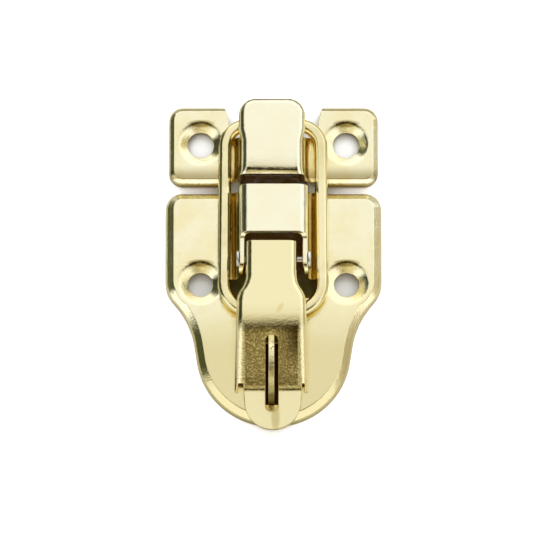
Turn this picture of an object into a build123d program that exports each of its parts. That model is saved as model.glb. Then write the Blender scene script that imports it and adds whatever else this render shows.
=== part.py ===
from build123d import *
import math
import os

# A duckbill box latch. The lever draws the ring over the hook of the strike plate and holds the lid shut.
# Millimetres. +X is to the right, +Y runs from the lever's tip to the hook, and +Z points away from the box.
# The origin lies on the wall that both plates are screwed to, at the middle of the closed latch.

# Sheet metal, and the heights of the pressed forms above the wall
sheet = 0.7
face_z = 2.6
rim_tilt = 40.0
rim_crease = 0.35
hump_z = 9.2
hump_foot_bend = 1.5
bridge_bend = 2.1
hook_bend = 1.45

# Countersunk dimples for the screws
screw_x = 13.5
dimple_r = 4.15
dimple_depth = 1.2
dimple_bend = 1.8
dimple_reach = 4.75

# Base plate
base_half = 20.0
base_top_y = 14.95
base_rim_run = 1.5
base_rim_bend = 1.2
base_corner_r = 3.0
base_screw_y = -2.6
base_hole_r = 2.3
round_r = 14.28
round_y = -15.06
waist_r = 15.7
waist_y = -14.0
waist_lean = 8.9
shoulder_r = 6.0

# Bridge and arms of the base plate, and the window under the lever
bridge_half = 6.4
foot_half = 8.0
bridge_top_y = 14.7
bridge_y = 5.65
arm_end_y = -1.9
arm_top_z = 8.0
arm_drop_run = 0.4
arm_hollow_r = 1.2
arm_round_r = 2.1
window_half = 8.0
window_end_y = -5.4

# Strike plate and its hook
strike_half = 19.4
strike_low_y = 16.5
strike_rim_run = 0.95
strike_rim_bend = 0.9
tip_y = 31.4
strike_corner_r = 2.6
strike_screw_y = 24.2
strike_hole_r = 2.45
hook_x = -0.3
hook_half = 5.68
lip_flares = (0, 0.03, 0.14, 0.42)
lip_drops = (0, 0.12, 0.32, 0.74)
lip_ys = (20.4, 18.3, 17.4, 16.8)
throat_y = 25.3
throat_half = 8.3
ear_half = 9.05
ear_taper_y = 28.5
bill_half = 6.15
bill_corner_r = 3.2
bill_taper = 2.0
bill_low_z = 7.55

# Pivot pin
pin_y = 1.0
pin_z = 6.2
pin_r = 0.6
pin_play = 0.05
head_r = 1.75
head_length = 0.5
head_round = 0.35

# Lever
lever_x = -0.4
lever_top_z = 9.4
lever_end_y = 3.85
neck_half = 4.75
neck_y = -2.4
cheek_half = 6.4
cheek_y = -7.7
fold_y = -11.8
foot_fold_y = -23.2
tongue_z = 3.85
fold_bend = 9.0
foot_bend = 2.0
side_bend = 1.6
cheek_flare = 0.45
flange_end_y = -22.05
flange_foot_y = -23.5
flange_front_z = 4.5
flange_z = 2.62
flange_rear_y = -4.0
flange_neck_z = 4.3
flange_cut_z = 6.6
flange_cut_run = 1.6
tongue_x = 0.25
tongue_half = 5.4
tongue_tip_r = 5.15
tongue_end_y = -30.7
slot_x = 0.1
slot_half = 1.2
slot_top_y = -13.75
slot_end_y = -27.1
slot_corner_r = 0.8

# Ring
ring_x = -0.1
ring_top_half = 10.05
ring_low_half = 10.3
ring_top_y = 28.4
ring_low_y = -9.6
ring_bar = 2.4
ring_thick = 2.2
ring_z = 4.4
ring_top_r = 5.4
ring_low_r = 6.5
ring_edge_r = 1.0
link_y = -7.6
notch_r = 2.35
notch_rise = 0.6

# Padlock staple
staple_x = -0.4
staple_thick = 1.05
staple_y = -19.9
staple_r = 5.7
staple_z = 9.3
eye_z = 10.4
eye_r = 2.3
staple_foot = 1.5
staple_foot_z = 0.9
staple_slot_half = 1.5
staple_slot_play = 0.15

# Beyond every face: the height that cuts go through, and the spare length of a joining or cutting solid
reach_z = 20.0
spare = 1.0

# How near its level an edge must lie to be picked by height
level_match = 0.07


def along_y(section, low, high):
    """Solid of a section drawn in X and Z, from one Y to another."""
    return extrude(Plane.XZ.offset(-high) * section, high - low)


def along_x(section, low, high):
    """Solid of a section drawn in Y and Z, from one X to another."""
    return extrude(Plane.YZ.offset(low) * section, high - low)


def box(low, high):
    """Block between its lowest and highest corners."""
    size = [b - a for a, b in zip(low, high)]
    return Pos(*low) * Box(*size, align=(Align.MIN, Align.MIN, Align.MIN))


def rod(y, z, radius, low, high):
    """Round bar along X."""
    return along_x(Pos(y, z) * Circle(radius), low, high)


def disc(x, y, radius, low, high):
    """Round bar along Z."""
    return Pos(x, y, low) * Cylinder(radius, high - low, align=(Align.CENTER, Align.CENTER, Align.MIN))


def ribbon(points, radii):
    """Section of bent sheet. The points are its outer side, and the metal lies to their right."""
    points = [Vector(*point) for point in points]
    along = [(b - a).normalized() for a, b in zip(points, points[1:])]
    across = [Vector(way.Y, -way.X) for way in along]
    inner_points = [points[0] + across[0] * sheet]
    inner_radii = []
    for corner, before, after, radius in zip(points[1:], across, across[1:], radii):
        inner_points.append(corner + (before + after) * (sheet / (1 + before.dot(after))))
        turn = before.cross(after).Z
        inner_radii.append(radius + math.copysign(sheet, turn))
    inner_points.append(points[-1] + across[-1] * sheet)
    outer = FilletPolyline(*points, radius=radii)
    inner = FilletPolyline(*inner_points, radius=inner_radii)
    return make_face(outer + inner + Line(outer @ 0, inner @ 0) + Line(outer @ 1, inner @ 1))


def both_sides(half):
    """Face inside a half outline and its mirror image across X = 0."""
    return make_face(half + mirror(half, Plane.YZ))


def tray_block(outline, rim_run, rim_bend, inset):
    """Block inside a tray's outer or inner surface: its top edge is slanted, and rounded below the slant."""
    tilt = math.radians(rim_tilt)
    run = rim_run - inset * (1 - math.tan(tilt / 2))
    drop = run * math.tan(tilt)
    block = extrude(offset(outline, -inset), face_z - inset)
    top = block.faces().sort_by(Axis.Z)[-1]
    block = chamfer(top.edges(), run, drop, reference=top)
    brow_z = face_z - inset - drop
    brow = block.edges().filter_by(lambda edge: abs(edge.center().Z - brow_z) < level_match)
    return fillet(brow, rim_bend - inset)


def pan(outline, rim_run, rim_bend):
    """Sheet pressed into a shallow tray with a slanted rim, open towards the wall."""
    outside = tray_block(outline, rim_run, rim_bend, 0)
    outside = fillet(outside.faces().sort_by(Axis.Z)[-1].edges(), rim_crease)
    return outside - tray_block(outline, rim_run, rim_bend, sheet)


def dimple(plate, x, y, hole_r):
    """The plate with a countersunk screw hole pressed into its face."""
    low = (hole_r - sheet, face_z - dimple_depth - sheet / 2)
    section = ribbon([low, (dimple_r, face_z), (dimple_reach, face_z)], [dimple_bend])
    cone = revolve(Plane.XZ * section, Axis.Z)
    pressed = plate - disc(x, y, dimple_reach, 0, reach_z) + Pos(x, y) * cone
    return pressed - disc(x, y, hole_r, -reach_z, reach_z)


def hump_points(half, top_z):
    """Outer side of a raised channel with flared feet, left to right."""
    low = [(-foot_half, face_z), (-half, face_z)]
    high = [(-half, top_z), (half, top_z)]
    return low + high + [(half, face_z), (foot_half, face_z)]


def hump_section(half, top_z, bend):
    """Section of a raised channel with flared feet."""
    return ribbon(hump_points(half, top_z), [hump_foot_bend, bend, bend, hump_foot_bend])


def base_outline():
    """Square shoulders, a waist on each side, and a half-round lower end."""
    lean = math.radians(waist_lean)
    aside = Vector(math.cos(lean), -math.sin(lean))
    low = Vector(0, round_y) + aside * round_r
    high = Vector(low.X + (waist_y - low.Y) * math.tan(lean), waist_y)
    waist = high + aside * waist_r
    shoulder_x = base_half - shoulder_r
    shoulder_y = waist.Y + math.sqrt((waist_r + shoulder_r) ** 2 - (waist.X - shoulder_x) ** 2)
    turn = math.degrees(math.atan2(shoulder_y - waist.Y, waist.X - shoulder_x))
    corner_y = base_top_y - base_corner_r
    corner_x = base_half - base_corner_r
    half = CenterArc((0, round_y), round_r, -90, 90 - waist_lean)
    half += Line(low, high)
    half += CenterArc(waist, waist_r, 180 - waist_lean, waist_lean - turn)
    half += CenterArc((shoulder_x, shoulder_y), shoulder_r, -turn, turn)
    half += Line((base_half, shoulder_y), (base_half, corner_y))
    half += CenterArc((corner_x, corner_y), base_corner_r, 0, 90)
    half += Line((corner_x, base_top_y), (0, base_top_y))
    return both_sides(half)


def arm_profile():
    """Side view of an arm: it drops from the bridge in a hollow curve and is rounded above the pin."""
    top = FilletPolyline(
        (bridge_y, hump_z),
        (bridge_y - arm_drop_run, arm_top_z),
        (arm_end_y, arm_top_z),
        (arm_end_y, 0),
        radius=[arm_hollow_r, arm_round_r],
    )
    rest = Polyline((arm_end_y, 0), (bridge_y, 0), (bridge_y, hump_z))
    return make_face(top + rest)


def make_base_plate():
    """Tray with the bridge, the two arms that hold the pin, two dimples and the openings under the lever."""
    plate = pan(base_outline(), base_rim_run, base_rim_bend)
    plate -= box((-foot_half, arm_end_y, -reach_z), (foot_half, base_top_y + spare, reach_z))
    plate -= box((-window_half, window_end_y, -reach_z), (window_half, arm_end_y, reach_z))
    section = hump_section(bridge_half, hump_z, bridge_bend)
    plate += along_y(section, bridge_y, bridge_top_y)
    plate += along_y(section, arm_end_y, bridge_y) & along_x(arm_profile(), -foot_half, foot_half)
    for x in (-screw_x, screw_x):
        plate = dimple(plate, x, base_screw_y, base_hole_r)
    slot_reach = staple_r + staple_slot_play
    plate -= box(
        (staple_x - staple_slot_half, staple_y - slot_reach, 0),
        (staple_x + staple_slot_half, staple_y + slot_reach, reach_z),
    )
    plate -= rod(pin_y, pin_z, pin_r, -foot_half, foot_half)
    return plate


def bill():
    """Free end of the hook: a shallow tray that widens from the hump to rounded tip corners."""
    root_y = throat_y - bill_taper
    half = Polyline(
        (0, root_y - 2 * spare),
        (hook_half, root_y - 2 * spare),
        (hook_half, root_y),
        (bill_half, throat_y),
        (bill_half, tip_y),
        (0, tip_y),
    )
    outline = both_sides(half)
    tip = outline.vertices().group_by(Axis.Y)[-1]
    outline = fillet(tip.filter_by(lambda corner: corner.X != 0), bill_corner_r)
    outside = Pos(0, 0, bill_low_z) * extrude(outline, hump_z - bill_low_z)
    outside = fillet(outside.faces().sort_by(Axis.Z)[-1].edges(), hook_bend)
    depth = hump_z - sheet - bill_low_z + spare
    hollow = Pos(0, 0, bill_low_z - spare) * extrude(offset(outline, -sheet), depth)
    hollow = fillet(hollow.faces().sort_by(Axis.Z)[-1].edges(), hook_bend - sheet)
    behind = box((-reach_z, 0, 0), (reach_z, root_y, reach_z))
    return outside - hollow - behind


def make_strike_plate():
    """Tray with the hook raised from its middle and open ears either side of the duckbill."""
    height = tip_y - strike_low_y
    outline = Pos(0, strike_low_y + height / 2) * RectangleRounded(2 * strike_half, height, strike_corner_r)
    plate = pan(outline, strike_rim_run, strike_rim_bend)
    throat = Polyline(
        (throat_half, throat_y),
        (throat_half, ear_taper_y),
        (ear_half, tip_y),
        (ear_half, tip_y + spare),
        (0, tip_y + spare),
    )
    low_edge = Line((0, throat_y), (throat_half, throat_y))
    plate -= Pos(0, 0, -reach_z) * extrude(both_sides(throat + low_edge), 2 * reach_z)
    plate -= box((hook_x - foot_half, 0, -reach_z), (hook_x + foot_half, throat_y, reach_z))
    hook = along_y(hump_section(hook_half, hump_z, hook_bend), lip_ys[0], throat_y)
    lip_sections = [
        Plane.XZ.offset(-y) * hump_section(hook_half + flare, hump_z - drop, hook_bend)
        for y, flare, drop in zip(lip_ys, lip_flares, lip_drops)
    ]
    hook += loft(lip_sections, ruled=True)
    plate += Pos(hook_x, 0, 0) * (hook + bill())
    for x in (-screw_x, screw_x):
        plate = dimple(plate, x, strike_screw_y, strike_hole_r)
    return plate


def lever_plan(inset):
    """Lever seen from above, as far as its flanges reach: a narrow neck that widens to the cheeks."""
    step = cheek_half - neck_half
    length = neck_y - cheek_y
    radius = (length**2 + step**2) / (4 * step)
    turn = math.degrees(math.asin(length / 2 / radius))
    neck = neck_half - inset
    cheek = cheek_half - inset
    past = spare if inset else 0
    rear = lever_end_y + past
    front = flange_foot_y - past
    foot = cheek + cheek_flare
    half = Line((0, rear), (neck, rear)) + Line((neck, rear), (neck, neck_y))
    half += CenterArc((neck + radius, neck_y), radius, 180, turn)
    half += CenterArc((cheek - radius, cheek_y), radius, 0, turn)
    half += Line((cheek, cheek_y), (foot, front)) + Line((foot, front), (0, front))
    return both_sides(half)


def lever_side(inset):
    """Lever seen from the side, from the top face down past its flanges."""
    slope = math.atan2(lever_top_z - tongue_z, fold_y - foot_fold_y)
    lean = inset * math.tan(slope / 2)
    drop = 2 * spare * math.tan(slope)
    points = [
        (lever_end_y + 2 * spare, lever_top_z - inset),
        (fold_y + lean, lever_top_z - inset),
        (foot_fold_y + lean - 2 * spare, tongue_z - inset - drop),
    ]
    top = FilletPolyline(*points, radius=fold_bend - inset)
    start = points[0]
    end = points[-1]
    sides = Polyline(end, (end[0], -spare), (start[0], -spare), start)
    return make_face(top + sides)


def flange_profile():
    """Side view that the flanges are trimmed to: cut off under the pin, flat below, slanted in front."""
    high = lever_top_z + spare
    points = [
        (lever_end_y, high),
        (lever_end_y, flange_cut_z),
        (lever_end_y - flange_cut_run, flange_neck_z),
        (flange_rear_y, flange_neck_z),
        (flange_rear_y, flange_z),
        (flange_foot_y, flange_z),
        (flange_end_y, flange_front_z),
        (flange_end_y, high),
    ]
    return make_face(Polyline(*points, close=True))


def tongue_plan():
    """Finger tongue seen from above, with its round end."""
    side_y = tongue_end_y + tongue_tip_r
    root_y = flange_end_y + spare
    half = CenterArc((0, side_y), tongue_tip_r, -90, 90)
    half += Line((tongue_tip_r, side_y), (tongue_half, flange_end_y))
    half += Polyline((tongue_half, flange_end_y), (tongue_half, root_y), (0, root_y))
    return Pos(tongue_x, 0) * both_sides(half)


def tongue():
    """The skin from the lower part of the slope to the tongue's tip."""
    points = [
        (tongue_end_y - spare, tongue_z),
        (foot_fold_y, tongue_z),
        (fold_y, lever_top_z),
        (lever_end_y, lever_top_z),
    ]
    skin = along_x(ribbon(points, [foot_bend, fold_bend]), -cheek_half, cheek_half)
    return skin & extrude(tongue_plan(), reach_z)


def slot():
    """Padlock slot seen from above: a round upper end and a squarer lower end."""
    upper = Pos(0, slot_top_y - slot_half) * Circle(slot_half)
    length = slot_top_y - slot_half - slot_end_y
    lower = Pos(0, slot_end_y + length / 2) * Rectangle(2 * slot_half, length)
    lower = fillet(lower.vertices().group_by(Axis.Y)[0], slot_corner_r)
    return Pos(slot_x, 0) * extrude(upper + lower, reach_z)


def make_lever():
    """Handle with side flanges, notches that hold the ring, the padlock slot and the finger tongue."""
    blocks = []
    for inset in (0, sheet):
        block = extrude(lever_plan(inset), reach_z) & along_x(lever_side(inset), -reach_z, reach_z)
        blocks.append(fillet(block.edges().filter_by(is_upper_side_edge), side_bend - inset))
    lever = (blocks[0] - blocks[1]) & along_x(flange_profile(), -reach_z, reach_z)
    flange_x = cheek_half + cheek_flare - sheet
    lever -= box((-flange_x, flange_foot_y - spare, 0), (flange_x, flange_end_y, reach_z))
    lever += tongue()
    lever -= slot()
    notch = SlotCenterToCenter(notch_rise, 2 * notch_r, rotation=90)
    lever -= along_x(Pos(link_y, ring_z + notch_rise / 2) * notch, -reach_z, reach_z)
    lever -= rod(pin_y, pin_z, pin_r + pin_play, -reach_z, reach_z)
    return lever


def is_upper_side_edge(edge):
    """True for the long edges between the lever's top face and its sides."""
    middle = edge @ 0.5
    way = edge % 0.5
    return middle.Z > flange_z and abs(way.Y) > abs(way.X) + abs(way.Z)


def make_ring():
    """Closed link with a flat top and rounded edges, a little wider at its lower end."""
    corners = [
        (-ring_low_half, ring_low_y),
        (ring_low_half, ring_low_y),
        (ring_top_half, ring_top_y),
        (-ring_top_half, ring_top_y),
    ]
    outline = make_face(Polyline(*corners, close=True))
    outline = fillet(outline.vertices().group_by(Axis.Y)[0], ring_low_r)
    outline = fillet(outline.vertices().group_by(Axis.Y)[-1], ring_top_r)
    ring = extrude(outline - offset(outline, -ring_bar), ring_thick)
    ring = Pos(ring_x, 0, ring_z - ring_thick / 2) * ring
    return fillet(ring.faces().filter_by(Axis.Z).edges(), ring_edge_r)


def make_pivot_pin():
    """Rivet through both arms, with a domed head outside each."""
    pin = rod(pin_y, pin_z, pin_r, -bridge_half, bridge_half)
    for side in (-1, 1):
        head = rod(pin_y, pin_z, head_r, 0, head_length)
        head = fillet(head.faces().sort_by(Axis.X)[-1].edges(), head_round)
        head = Pos(bridge_half, 0, 0) * head
        pin += head if side > 0 else mirror(head, Plane.YZ)
    return pin


def make_padlock_staple():
    """Upright eye whose shoulders bear on the underside of the base plate."""
    half = CenterArc((0, staple_z), staple_r, 0, 90)
    foot_top = face_z - sheet
    half += Polyline(
        (staple_r, staple_z),
        (staple_r, foot_top),
        (staple_r + staple_foot, foot_top),
        (staple_r + staple_foot, staple_foot_z),
        (0, staple_foot_z),
    )
    outline = Pos(staple_y, 0) * (both_sides(half) - Pos(0, eye_z) * Circle(eye_r))
    low = staple_x - staple_thick / 2
    return along_x(outline, low, low + staple_thick)


os.makedirs("parts", exist_ok=True)
pieces = {
    "base_plate": make_base_plate(),
    "strike_plate": make_strike_plate(),
    "lever": Pos(lever_x, 0, 0) * make_lever(),
    "ring": make_ring(),
    "pivot_pin": make_pivot_pin(),
    "padlock_staple": make_padlock_staple(),
}
for name, piece in pieces.items():
    export_step(piece, f"parts/{name}.step")
    print(name, "solids", len(piece.solids()), "volume", round(piece.volume, 1))
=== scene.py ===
"""The look of the duckbill box latch: plated finish, floor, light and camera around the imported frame."""
import math

import bpy
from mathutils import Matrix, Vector

MM = 0.001

# The photograph's view: 540 pixels square, 5.4 pixels to a millimetre, seen from the tongue's side
IMAGE_PX = 540
PX_PER_MM = 5.4
VIEW_ELEVATION = 75.0
VIEW_DISTANCE = 1500 * MM
VIEW_TARGET = (-0.65 * MM, 0.65 * MM, 0.0)
SENSOR = 36.0
NEAR_CLIP = 0.01

# Mesh clean-up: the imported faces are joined, and edges sharper than this stay sharp
JOIN_MM = 0.002
SHARP_ANGLE = math.radians(38)
FLAT_WEIGHT = 80

# Pairs of limits like these are spans, over which something changes
WHOLE = (0.0, 1.0)
SPOT_FADE = (0.15, 1.0)

# Rays that find how open a point is and how round an edge is
SKY_SAMPLES = 8
EDGE_SAMPLES = 6

# Colour sockets of the mix node, by number because plain values and colours share their names
COLOUR_A = 6
COLOUR_B = 7
COLOUR_RESULT = 2

# Studio surroundings as linear colours
WHITE = (1.0, 1.0, 1.0, 1)
FRONT_GAP_LEFT = (0.66, 0.58, 0.32, 1)
FRONT_GAP_RIGHT = (0.40, 0.33, 0.15, 1)
GAP_CORE = (0.02, 0.012, 0.004, 1)
LEFT_GAP = (0.03, 0.035, 0.02, 1)
LEFT_GAP_LOW = (0.07, 0.08, 0.04, 1)
RIGHT_WALL = (0.50, 0.46, 0.38, 1)

# Where the surroundings change, as parts of a direction: x to the right, y towards the hook, z up
FRONT_Y = (-0.28, 0.20)
FRONT_Z = (0.50, 0.66)
FRONT_ASIDE = (0.35, 0.60)
FRONT_TURN_X = (-0.12, 0.18)
CORE_START_Y = (-0.58, -0.44)
CORE_END_Y = (-0.22, -0.04)
LEFT_X = (-0.68, -0.50)
LEFT_Y = (-0.25, -0.10)
LEFT_TURN_Z = (0.25, 0.50)
RIGHT_X = (0.90, 0.94)

# Strengths of the light and the directions that they belong to
LOW_LIGHT = 1.25
LOW_Z = (0.50, 0.85)
HORIZON_LIGHT = 0.5
HORIZON_Z = (0.02, 0.14)
SOFT_LIGHT = 0.8
KEY_LIGHT = 3.5
KEY_Y = (0.25, 0.65)
KEY_Z = (0.25, 0.50)

# Floor: half its side in metres, places on it in mm, and its openness to the sky from 0 to 1
FLOOR_HALF = 1.2
FLOOR_COLOUR = (0.9, 0.9, 0.9, 1)
FLOOR_REFLECTED = (0.62, 0.60, 0.52, 1)
FLOOR_FAR = (0.16, 0.13, 0.07, 1)
FLOOR_FAR_Y = (38.0, 60.0)
FLOOR_ROUGHNESS = 0.9
FLOOR_GLOW = 0.7
GLOW_OPENNESS = (0.35, 0.60)
SHADE_REACH = 20.0
SHADE_OPENNESS = (0.30, 0.60)
DEEP_SHADE = (0.13, 0.062, 0.008, 1)
DEEP_ASIDE = (6.0, 6.6)
DEEP_START_Y = (-27.0, -26.0)
DEEP_END_Y = (18.5, 20.0)
WINDOW_SHADE = (0.17, 0.15, 0.045, 1)
WINDOW_ASIDE = (8.4, 9.0)
WINDOW_START_Y = (-8.0, -7.0)
WINDOW_END_Y = (-1.5, 0.0)

# Screw holes: the right one of each pair, how far the floor under them gets painted grey shade, and its share
# of the glow
BASE_HOLE = (13.5, -2.6)
STRIKE_HOLE = (13.5, 24.2)
HOLE_REACH = 3.2
HOLE_SHADE = (0.72, 0.73, 0.74, 1)
BASE_HOLE_GLOW = 0.1
STRIKE_HOLE_GLOW = 0.65

# Plating as linear colours, from the clean tone to a yellow used as tone and as painted shade, and the
# painted brown shade of its corners; others paint highlights, edge reflections and shade
CREAM = (0.95, 0.90, 0.63, 1)
GOLD = (0.92, 0.83, 0.50, 1)
YELLOW = (0.78, 0.69, 0.38, 1)
OCHRE = (0.72, 0.55, 0.16, 1)
PALE = (0.98, 0.95, 0.74, 1)
WARM_SHADE = (0.90, 0.72, 0.25, 1)
DARK_SHADE = (0.34, 0.25, 0.07, 1)
BROWN = (0.16, 0.11, 0.025, 1)
SMEAR_AND_SHADE = (0.50, 0.40, 0.14, 1)
CUT_METAL = (0.86, 0.78, 0.50, 1)
STEEL = (0.86, 0.87, 0.90, 1)
DULL_STEEL = (0.45, 0.45, 0.48, 1)
FLECK = (0.46, 0.41, 0.29, 1)

# Noise patterns as features per mm, detail and roughness, with the spans of their values that show
FINE_NOISE = (3.2, 3.0, 0.6)
FINE_SPAN = (0.3, 0.7)
TONE_NOISE = (0.16, 3.0, 0.5)
TONE_SPAN = (0.35, 0.70)
PIT_NOISE = (1.7, 4.0, 0.65)
PIT_SPAN = (0.62, 0.72)
PIT_STRENGTH = 0.45
PEEL_NOISE = (1.2, 2.0, 0.5)
FLECK_SHADE_NOISE = (2.7, 3.0, 0.7)
FLECK_SHADE_SPAN = (0.44, 0.66)
SPECK_NOISE = (1.6, 3.0, 0.7)
SPECK_SPAN = (0.54, 0.66)
SPECK_STRENGTH = 0.8

# Least and most of a finish's roughness, as shares of it
ROUGHNESS_SHARES = (0.8, 1.2)

# Painted reflection on cut edges, found where the rounded surface leans from the true one, and painted shade
# in corners, found by their openness
EDGE_ROUND = 0.2
EDGE_LEAN = (0.80, 0.97)
EDGE_STRENGTH = 0.8
CORNER_REACH = 5.0
CORNER_DEPTH = (0.02, 0.22)
CORNER_OPENNESS = (0.15, 0.60)

# Marks on the plates, mostly painted shade and highlight, in the part's own frame and in mm; a strength is a
# mark's share of the colour
RIM_Z = (0.3, 1.5)
RIM_STRENGTH = 0.8
CREASE_START_Y = (17.35, 17.65)
CREASE_END_Y = (17.65, 20.25)
CREASE_STRENGTH = 0.9
CREASE_Z = (5.0, 6.0)
CREASE_HIGH_SHARE = 0.4
BEND_RISE = 3.95
BEND_HALVES = (2.9, 0.8)
BEND_STRENGTH = 0.75
HIGH_FACE_Z = (7.5, 9.0)
HIGH_FACE_STRENGTH = 0.7
YELLOW_END_Y = (-16.0, -5.0)

# Marks on the lever, stains and painted shade, from the fold at the top of its slope to the foot where the
# tongue starts
FOLD_Y = -12.6
FOOT_Y = -22.6
LEVER_MIDDLE_X = -0.4
SLOT_X = -0.3
SLOPE_START_Y = (FOOT_Y - 0.2, FOOT_Y + 0.4)
SLOPE_END_Y = (FOLD_Y + 0.1, FOLD_Y + 0.9)
SLOPE_ASIDE = (4.7, 5.0)
BROWN_X = (0.5, 4.8)
BROWN_Y = (-21.0, -14.5)
SLOT_RIM = (1.4, 2.1)
FOOT_BROWN_Y = (FOOT_Y + 0.5, FOOT_Y + 3.0)
FOOT_BROWN_STRENGTH = 0.35
FOLD_YELLOW_START_Y = (FOLD_Y, FOLD_Y + 0.9)
FOLD_YELLOW_END_Y = (FOLD_Y + 1.0, FOLD_Y + 5.0)
FOLD_YELLOW_STRENGTH = 0.9
TONGUE_Y = (FOOT_Y - 1.0, FOOT_Y)
TONGUE_YELLOW_STRENGTH = 0.45
STAIN = (1.2, -9.0)
STAIN_HALVES = (0.7, 1.2)
STAIN_LEAN = 0.5
STAIN_STRENGTH = 0.4
SMUDGE = (0.35, -28.4)
SMUDGE_HALVES = (1.0, 3.2)
SMUDGE_STRENGTH = 0.6
SMOOTH_Y = (FOLD_Y, FOLD_Y + 3.0)
SMOOTH_SHARE = 0.2

# Marks on the staple's sheared edge: specks and painted shade
STAPLE_X = -0.4
SHEARED_HALF = (0.40, 0.50)
SHEARED_SHADE_Y = (-24.0, -16.5)
SHEARED_SHADE_STRENGTH = 0.8

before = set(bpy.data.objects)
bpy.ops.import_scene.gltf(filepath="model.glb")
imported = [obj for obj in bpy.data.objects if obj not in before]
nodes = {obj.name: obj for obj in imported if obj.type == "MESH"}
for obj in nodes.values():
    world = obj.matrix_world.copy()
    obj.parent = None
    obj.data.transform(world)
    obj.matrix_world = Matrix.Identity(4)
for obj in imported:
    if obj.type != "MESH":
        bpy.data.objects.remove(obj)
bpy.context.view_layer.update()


class Tree:
    """A node tree with short calls for the kinds of node that the scene uses."""

    def __init__(self, owner):
        owner.use_nodes = True
        self.tree = owner.node_tree

    def add(self, kind, **settings):
        node = self.tree.nodes.new(kind)
        for name, value in settings.items():
            setattr(node, name, value)
        return node

    def feed(self, socket, value):
        """Links a socket to another one, or gives it a plain value."""
        if isinstance(value, bpy.types.NodeSocket):
            self.tree.links.new(value, socket)
        else:
            socket.default_value = value

    def math(self, operation, first, second=0.0):
        node = self.add("ShaderNodeMath", operation=operation)
        self.feed(node.inputs[0], first)
        self.feed(node.inputs[1], second)
        return node.outputs[0]

    def product(self, *factors):
        """All the factors multiplied."""
        result = factors[0]
        for factor in factors[1:]:
            result = self.math("MULTIPLY", result, factor)
        return result

    def distance(self, value, middle):
        """How far a value is from a middle, to either side."""
        return self.math("ABSOLUTE", self.math("SUBTRACT", value, middle))

    def step(self, value, span, start=0.0, end=1.0, way="SMOOTHSTEP"):
        """A change from start to end while the value crosses a span, soft or (way LINEAR) even."""
        node = self.add("ShaderNodeMapRange", interpolation_type=way)
        limits = {"Value": value, "From Min": span[0], "From Max": span[1], "To Min": start, "To Max": end}
        for name, number in limits.items():
            self.feed(node.inputs[name], number)
        return node.outputs["Result"]

    def fade(self, value, span, start=1.0, way="SMOOTHSTEP"):
        """A step down to nothing."""
        return self.step(value, span, start, 0.0, way)

    def between(self, value, rise, fall):
        """1 between two spans of a value and 0 outside them."""
        return self.product(self.step(value, rise), self.fade(value, fall))

    def mix(self, factor, first, second, blend="MIX"):
        node = self.add("ShaderNodeMix", data_type="RGBA", blend_type=blend)
        self.feed(node.inputs["Factor"], factor)
        self.feed(node.inputs[COLOUR_A], first)
        self.feed(node.inputs[COLOUR_B], second)
        return node.outputs[COLOUR_RESULT]

    def split(self, vector):
        node = self.add("ShaderNodeSeparateXYZ")
        self.feed(node.inputs[0], vector)
        return node.outputs

    def place(self):
        """Where a point of the surface lies in the part's frame, in millimetres."""
        node = self.add("ShaderNodeVectorMath", operation="SCALE")
        self.feed(node.inputs["Vector"], self.add("ShaderNodeTexCoord").outputs["Object"])
        self.feed(node.inputs["Scale"], 1 / MM)
        return node.outputs["Vector"]

    def noise(self, place, pattern):
        """Noise in a pattern of features per millimetre, detail and roughness."""
        node = self.add("ShaderNodeTexNoise")
        self.feed(node.inputs["Vector"], place)
        for name, number in zip(("Scale", "Detail", "Roughness"), pattern):
            self.feed(node.inputs[name], number)
        return node.outputs["Fac"]

    def openness(self, reach):
        """How much of the sky a point sees: 1 in the open, near 0 deep inside."""
        node = self.add("ShaderNodeAmbientOcclusion", samples=SKY_SAMPLES)
        self.feed(node.inputs["Distance"], reach * MM)
        return node.outputs["AO"]

    def spot(self, x, y, centre, halves, lean=0.0):
        """Soft oval mark round a place, 1 in its middle; lean shifts it sideways along its length."""
        across = self.math("SUBTRACT", x, centre[0])
        along = self.math("SUBTRACT", y, centre[1])
        across = self.math("SUBTRACT", across, self.math("MULTIPLY", along, lean))
        across = self.math("DIVIDE", across, halves[0])
        along = self.math("DIVIDE", along, halves[1])
        reach = self.math("ADD", self.product(across, across), self.product(along, along))
        return self.fade(reach, SPOT_FADE)


def add_camera():
    """Long lens at the photograph's angle."""
    camera = bpy.data.cameras.new("camera")
    camera.sensor_width = SENSOR
    camera.lens = SENSOR * VIEW_DISTANCE * PX_PER_MM / (IMAGE_PX * MM)
    camera.clip_start = NEAR_CLIP
    holder = bpy.data.objects.new("camera", camera)
    elevation = math.radians(VIEW_ELEVATION)
    away = Vector((0, -math.cos(elevation), math.sin(elevation)))
    holder.location = Vector(VIEW_TARGET) + away * VIEW_DISTANCE
    holder.rotation_euler = (math.radians(90 - VIEW_ELEVATION), 0, 0)
    bpy.context.scene.collection.objects.link(holder)
    bpy.context.scene.camera = holder


def surroundings_colour(tree, x, y, z):
    """White tent with a dark-cored golden gap in front, a dark gap to the left and a wall to the right."""
    front = tree.product(
        tree.fade(y, FRONT_Y, way="LINEAR"),
        tree.step(z, FRONT_Z),
        tree.fade(tree.math("ABSOLUTE", x), FRONT_ASIDE),
    )
    gap = tree.mix(tree.step(x, FRONT_TURN_X), FRONT_GAP_LEFT, FRONT_GAP_RIGHT)
    colour = tree.mix(front, WHITE, gap)
    core = tree.product(front, tree.between(y, CORE_START_Y, CORE_END_Y))
    colour = tree.mix(core, colour, GAP_CORE)
    left = tree.product(tree.fade(x, LEFT_X), tree.step(y, LEFT_Y))
    left_gap = tree.mix(tree.step(z, LEFT_TURN_Z), LEFT_GAP_LOW, LEFT_GAP)
    colour = tree.mix(left, colour, left_gap)
    return tree.mix(tree.step(x, RIGHT_X), colour, RIGHT_WALL)


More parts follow.
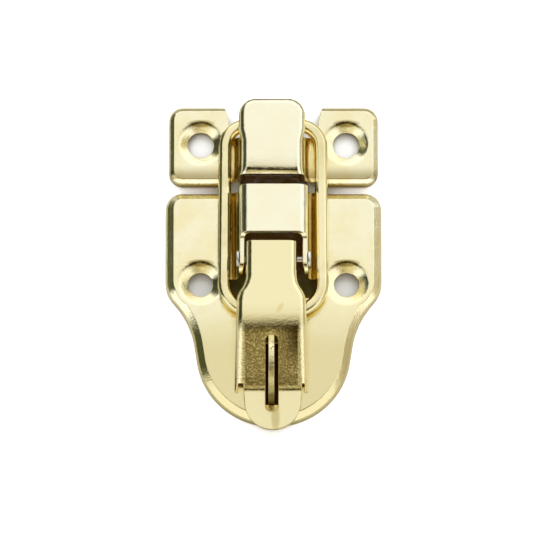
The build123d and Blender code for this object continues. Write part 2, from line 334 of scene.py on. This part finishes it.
def surroundings_strength(tree, y, z):
    """Brighter low down, dim at the horizon, and with a key light from the hook's side for matt surfaces."""
    diffuse = tree.add("ShaderNodeLightPath").outputs["Is Diffuse Ray"]
    strength = tree.product(
        tree.step(z, LOW_Z, LOW_LIGHT, 1.0),
        tree.step(z, HORIZON_Z, HORIZON_LIGHT, 1.0),
        tree.step(diffuse, WHOLE, 1.0, SOFT_LIGHT),
    )
    key = tree.product(diffuse, KEY_LIGHT, tree.step(y, KEY_Y), tree.step(z, KEY_Z))
    return tree.math("ADD", strength, key)


def add_surroundings():
    """The studio that lights the latch and shows in its plating."""
    world = bpy.data.worlds.new("studio")
    bpy.context.scene.world = world
    tree = Tree(world)
    x, y, z = tree.split(tree.add("ShaderNodeTexCoord").outputs["Generated"])
    shade = tree.tree.nodes["Background"]
    tree.feed(shade.inputs["Color"], surroundings_colour(tree, x, y, z))
    tree.feed(shade.inputs["Strength"], surroundings_strength(tree, y, z))
    bpy.context.scene.view_settings.view_transform = "Standard"


def floor_finish():
    """White with a glow, painted darker where seen in reflections, with painted brown shade deep under the
    latch and painted grey shade under its screw holes.
    """
    material = bpy.data.materials.new("floor_white")
    tree = Tree(material)
    shader = tree.tree.nodes["Principled BSDF"]
    open_sky = tree.openness(SHADE_REACH)
    x, y, _ = tree.split(tree.place())
    aside = tree.math("ABSOLUTE", x)
    reflected = tree.add("ShaderNodeLightPath").outputs["Is Glossy Ray"]
    # Painted shade: the floor is darker where seen in reflections, and darker still far beyond the hook
    mirrored = tree.mix(tree.step(y, FLOOR_FAR_Y), FLOOR_REFLECTED, FLOOR_FAR)
    colour = tree.mix(reflected, FLOOR_COLOUR, mirrored)
    shaded = tree.fade(open_sky, SHADE_OPENNESS)
    # Painted shade: brown on the floor deep under the latch's middle
    deep = tree.product(tree.fade(aside, DEEP_ASIDE), tree.between(y, DEEP_START_Y, DEEP_END_Y), shaded)
    colour = tree.mix(deep, colour, DEEP_SHADE)
    # Painted shade: olive on the floor under the window
    window = tree.between(y, WINDOW_START_Y, WINDOW_END_Y)
    window = tree.product(tree.fade(aside, WINDOW_ASIDE), window, shaded)
    colour = tree.mix(window, colour, WINDOW_SHADE)
    base_hole, strike_hole = [
        tree.spot(aside, y, centre, (HOLE_REACH, HOLE_REACH)) for centre in (BASE_HOLE, STRIKE_HOLE)
    ]
    # Painted shade: grey on the floor under the screw holes
    colour = tree.mix(tree.math("MAXIMUM", base_hole, strike_hole), colour, HOLE_SHADE)
    glow = tree.product(
        tree.step(open_sky, GLOW_OPENNESS, 0.0, FLOOR_GLOW),
        tree.fade(reflected, WHOLE),
        tree.step(base_hole, WHOLE, 1.0, BASE_HOLE_GLOW),
        tree.step(strike_hole, WHOLE, 1.0, STRIKE_HOLE_GLOW),
    )
    tree.feed(shader.inputs["Base Color"], colour)
    tree.feed(shader.inputs["Emission Color"], WHITE)
    tree.feed(shader.inputs["Emission Strength"], glow)
    tree.feed(shader.inputs["Roughness"], FLOOR_ROUGHNESS)
    tree.feed(shader.inputs["Specular IOR Level"], 0.0)
    return material


def add_floor():
    """Plain sheet under the latch."""
    mesh = bpy.data.meshes.new("floor")
    corners = [(x * FLOOR_HALF, y * FLOOR_HALF, 0) for x, y in ((-1, -1), (1, -1), (1, 1), (-1, 1))]
    mesh.from_pydata(corners, [], [(0, 1, 2, 3)])
    mesh.materials.append(floor_finish())
    floor = bpy.data.objects.new("floor", mesh)
    bpy.context.scene.collection.objects.link(floor)


def painted_edge_reflection(tree, colour, rounded, edge):
    """Painted reflection on cut edges: the metal's colour, with the edge colour where the surface turns
    sharply.
    """
    lean = tree.add("ShaderNodeVectorMath", operation="DOT_PRODUCT")
    tree.feed(lean.inputs[0], rounded)
    tree.feed(lean.inputs[1], tree.add("ShaderNodeNewGeometry").outputs["Normal"])
    return tree.mix(tree.fade(lean.outputs["Value"], EDGE_LEAN, EDGE_STRENGTH), colour, edge)


def shaded_corners(tree, colour, corner):
    """The metal's colour toned by the corner colour where little sky is seen, and dark deep inside."""
    open_sky = tree.openness(CORNER_REACH)
    shade = tree.mix(tree.step(open_sky, CORNER_DEPTH), DARK_SHADE, corner)
    shade = tree.mix(tree.step(open_sky, CORNER_OPENNESS), shade, WHITE)
    return tree.mix(1.0, colour, shade, "MULTIPLY")


def orange_peel(tree, rounded, waves, grains):
    """The rounded surface's normal, made uneven by waves and grains whose heights are in millimetres."""
    bump = tree.add("ShaderNodeBump")
    tree.feed(bump.inputs["Height"], tree.math("ADD", waves, grains))
    tree.feed(bump.inputs["Distance"], MM)
    tree.feed(bump.inputs["Strength"], 1.0)
    tree.feed(bump.inputs["Normal"], rounded)
    return bump.outputs[0]


def finish(name, clean, deep, roughness, peel, grain, marks=None, edge=OCHRE, corner=WARM_SHADE):
    """Plated metal, built up from its two tones, marks and painted light, a painted edge reflection, painted
    shade in corners and orange peel.
    """
    material = bpy.data.materials.new(name)
    tree = Tree(material)
    shader = tree.tree.nodes["Principled BSDF"]
    place = tree.place()
    fine = tree.noise(place, FINE_NOISE)
    colour = tree.mix(tree.step(tree.noise(place, TONE_NOISE), TONE_SPAN), clean, deep)
    pits = tree.step(tree.noise(place, PIT_NOISE), PIT_SPAN, 0.0, PIT_STRENGTH)
    colour = tree.mix(pits, colour, deep, "MULTIPLY")
    if marks:
        colour, grain = marks(tree, place, colour, grain)
    bevel = tree.add("ShaderNodeBevel", samples=EDGE_SAMPLES)
    tree.feed(bevel.inputs["Radius"], EDGE_ROUND * MM)
    rounded = bevel.outputs["Normal"]
    # Painted reflection along cut edges, then painted shade in corners
    colour = painted_edge_reflection(tree, colour, rounded, edge)
    colour = shaded_corners(tree, colour, corner)
    waves = tree.product(tree.noise(place, PEEL_NOISE), peel)
    smoothest, roughest = [roughness * share for share in ROUGHNESS_SHARES]
    tree.feed(shader.inputs["Normal"], orange_peel(tree, rounded, waves, tree.product(fine, grain)))
    tree.feed(shader.inputs["Base Color"], colour)
    tree.feed(shader.inputs["Metallic"], 1.0)
    tree.feed(shader.inputs["Roughness"], tree.step(fine, FINE_SPAN, smoothest, roughest))
    return material


def plate_painted_light(tree, place, colour, grain):
    """Ochre low on the rims; painted shade at the hook's crease, on the bends above the holes and towards the
    lower end; a painted highlight on the high faces.
    """
    x, y, z = tree.split(place)
    colour = tree.mix(tree.fade(z, RIM_Z, RIM_STRENGTH), colour, OCHRE)
    # Painted shade: darker towards the crease at the hook
    crease = tree.product(
        tree.fade(y, CREASE_END_Y, CREASE_STRENGTH),
        tree.step(y, CREASE_START_Y),
        tree.step(z, CREASE_Z, 1.0, CREASE_HIGH_SHARE),
    )
    colour = tree.mix(crease, colour, FLECK, "MULTIPLY")
    aside = tree.math("ABSOLUTE", x)
    # Painted shade: dark on the bends above the screw holes
    bends = []
    for hole_x, hole_y in (BASE_HOLE, STRIKE_HOLE):
        bends.append(tree.spot(aside, y, (hole_x, hole_y + BEND_RISE), BEND_HALVES))
    colour = tree.mix(tree.product(tree.math("MAXIMUM", *bends), BEND_STRENGTH), colour, DARK_SHADE)
    # Painted highlight: the high faces are paler
    colour = tree.mix(tree.step(z, HIGH_FACE_Z, 0.0, HIGH_FACE_STRENGTH), colour, PALE)
    # Painted shade: yellow towards the plate's lower end
    return tree.mix(tree.fade(y, YELLOW_END_Y), colour, YELLOW), grain


def slope_painted_shade(tree, place, colour):
    """Painted shade on the slope: brown at its foot and to the right of the slot's bright rim, with painted
    flecks of shade for the orange peel's speckled reflection.
    """
    x, y, _ = tree.split(place)
    slope = tree.product(
        tree.fade(y, SLOPE_END_Y),
        tree.step(y, SLOPE_START_Y),
        tree.fade(tree.distance(x, LEVER_MIDDLE_X), SLOPE_ASIDE),
    )
    # Painted shade: brown on the slope to the right of the slot's rim
    off_rim = tree.step(tree.math("SUBTRACT", x, SLOT_X), SLOT_RIM)
    right = tree.product(slope, tree.step(x, BROWN_X), off_rim, tree.step(y, BROWN_Y))
    colour = tree.mix(right, colour, BROWN)
    # Painted shade: brown towards the slope's foot
    foot = tree.product(slope, tree.fade(y, FOOT_BROWN_Y, FOOT_BROWN_STRENGTH))
    colour = tree.mix(foot, colour, BROWN)
    # Painted flecks of shade for the orange peel's speckled reflection
    fleck_shade = tree.product(slope, tree.fade(tree.noise(place, FLECK_SHADE_NOISE), FLECK_SHADE_SPAN))
    return tree.mix(fleck_shade, colour, FLECK, "MULTIPLY")


def lever_stains_and_shade(tree, place, colour, grain):
    """The slope's painted shade, painted yellow shade by the fold, yellow on the tongue, a stain and a
    smudge; less grain elsewhere.
    """
    x, y, _ = tree.split(place)
    colour = slope_painted_shade(tree, place, colour)
    # Painted shade: yellow where the flat bows down before the fold
    by_fold = tree.product(
        tree.fade(y, FOLD_YELLOW_END_Y),
        tree.step(y, FOLD_YELLOW_START_Y),
        FOLD_YELLOW_STRENGTH,
    )
    colour = tree.mix(by_fold, colour, YELLOW)
    colour = tree.mix(tree.fade(y, TONGUE_Y, TONGUE_YELLOW_STRENGTH), colour, YELLOW)
    stain = tree.product(tree.spot(x, y, STAIN, STAIN_HALVES, STAIN_LEAN), STAIN_STRENGTH)
    colour = tree.mix(stain, colour, OCHRE)
    smudge = tree.product(tree.spot(x, y, SMUDGE, SMUDGE_HALVES), SMUDGE_STRENGTH)
    colour = tree.mix(smudge, colour, SMEAR_AND_SHADE)
    rear = tree.step(y, SMOOTH_Y, 1.0, SMOOTH_SHARE)
    tongue = tree.step(y, TONGUE_Y, SMOOTH_SHARE, 1.0)
    return colour, tree.product(rear, tongue, grain)


def staple_specks_and_shade(tree, place, colour, grain):
    """The sheared edge has brown specks, and painted shade that grows towards the tongue."""
    x, y, _ = tree.split(place)
    sheared = tree.fade(tree.distance(x, STAPLE_X), SHEARED_HALF)
    # Painted shade: darker towards the tongue along the sheared edge
    shade_to_tongue = tree.product(sheared, tree.fade(y, SHEARED_SHADE_Y, SHEARED_SHADE_STRENGTH))
    colour = tree.mix(shade_to_tongue, colour, SMEAR_AND_SHADE)
    specks = tree.step(tree.noise(place, SPECK_NOISE), SPECK_SPAN, 0.0, SPECK_STRENGTH)
    return tree.mix(tree.product(specks, sheared), colour, BROWN), grain


def plate_finish():
    """Bright plating that both plates share."""
    return finish("pressed_brass", CREAM, GOLD, roughness=0.105, peel=0.02, grain=0.03, marks=plate_painted_light)


def lever_finish():
    """Plating of the lever, grainy on its slope."""
    return finish("lever_brass", GOLD, GOLD, roughness=0.13, peel=0.03, grain=0.07, marks=lever_stains_and_shade)


def ring_finish():
    """Polished plating of the ring."""
    return finish("ring_brass", GOLD, YELLOW, roughness=0.08, peel=0.03, grain=0.012)


def staple_finish():
    """Plating over sheared metal."""
    return finish("staple_brass", GOLD, CUT_METAL, roughness=0.32, peel=0.1, grain=0.06, marks=staple_specks_and_shade)


def pin_finish():
    """Bare steel of the rivet."""
    # Painted highlight on the rivet's edges, and painted shade in its corners
    steel = {"edge": STEEL, "corner": DULL_STEEL}
    return finish("pin_steel", STEEL, DULL_STEEL, roughness=0.2, peel=0.01, grain=0.005, **steel)


def smooth_surface(obj):
    """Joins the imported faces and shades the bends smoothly, with the flats kept flat."""
    for polygon in obj.data.polygons:
        polygon.use_smooth = True
    weld = obj.modifiers.new("join", "WELD")
    weld.merge_threshold = JOIN_MM * MM
    split = obj.modifiers.new("sharp", "EDGE_SPLIT")
    split.split_angle = SHARP_ANGLE
    split.use_edge_sharp = False
    normal = obj.modifiers.new("flats", "WEIGHTED_NORMAL")
    normal.weight = FLAT_WEIGHT


add_camera()
add_surroundings()
add_floor()

pressed = plate_finish()
finishes = {
    "base_plate": pressed,
    "strike_plate": pressed,
    "lever": lever_finish(),
    "ring": ring_finish(),
    "padlock_staple": staple_finish(),
    "pivot_pin": pin_finish(),
}
for name, node in nodes.items():
    node.data.materials.clear()
    node.data.materials.append(finishes[name])
    smooth_surface(node)
